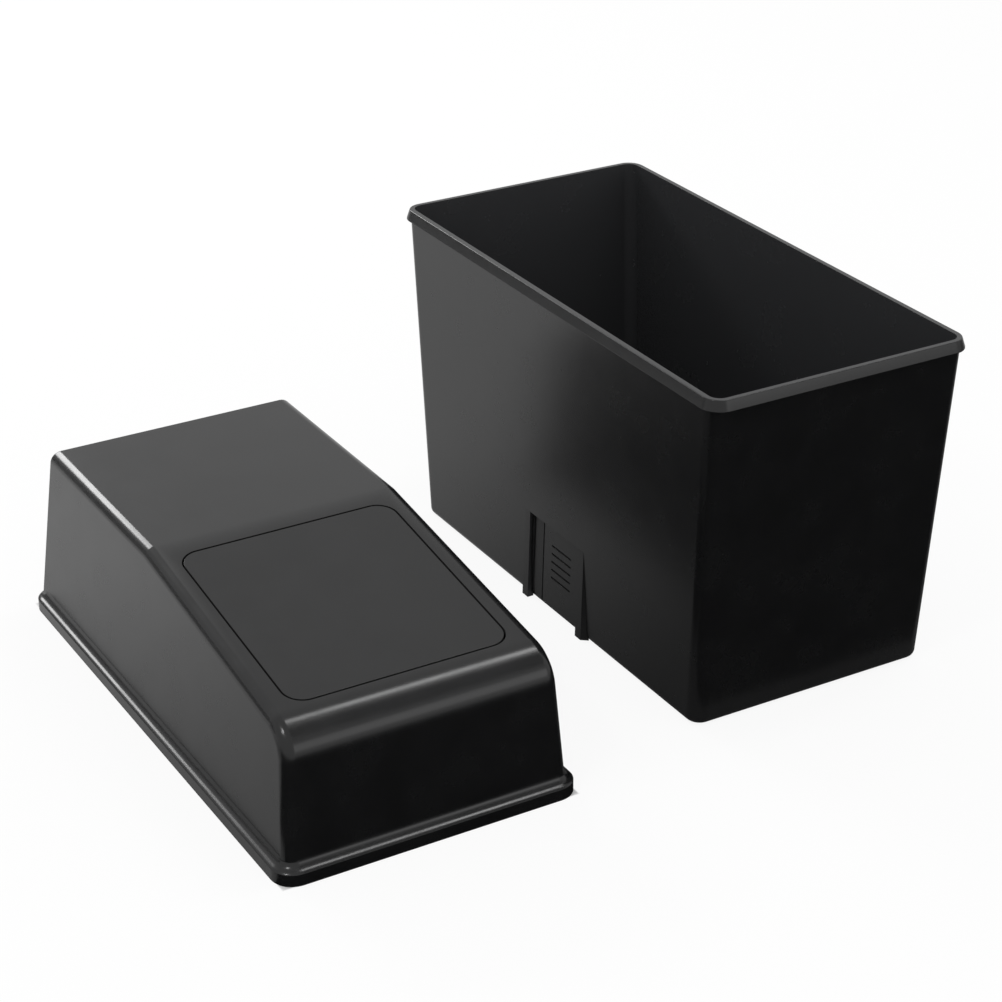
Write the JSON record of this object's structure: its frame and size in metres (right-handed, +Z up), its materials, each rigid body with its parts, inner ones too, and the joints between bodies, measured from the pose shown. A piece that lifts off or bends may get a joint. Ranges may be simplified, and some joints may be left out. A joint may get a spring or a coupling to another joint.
{
  "type": "car trash bin",
  "caption": "Rectangular moulded bin for a car with an outward rim and a low slide-in channel; its hooded lid with a flush swing flap stands beside it.",
  "frame": {"origin": "centre of the bin's flat floor, on the surface that bin and lid stand on", "axes": "+Z up out of the bin's mouth; +X along the bin's length, towards the low end of the lid; -Y through the long wall with the channel, towards the lid set beside it"},
  "size_m": [0.2819, 0.3473, 0.1654],
  "materials": {
    "bin_plastic": "black polypropylene, fine grain on the long walls, satin rim",
    "lid_plastic": "black polypropylene, fine grain on the sides, satin top",
    "flap_plastic": "black polypropylene, satin face",
    "pin_steel": "drawn bright steel"
  },
  "bodies": {
    "bin_and_lid": {"bin_body": "bin_plastic", "lid_hood": "lid_plastic"},
    "flap": {"swing_flap": "flap_plastic", "hinge_pins": "pin_steel", "counterweight_bar": "pin_steel"}
  },
  "joints": [
    {"name": "flap_swing", "type": "hinge", "parent": "bin_and_lid", "child": "flap", "pos_m": [0.06193, -0.2064, 0.0728], "axis": [0, 1, 0], "range_deg": [0, 60]}
  ]
}
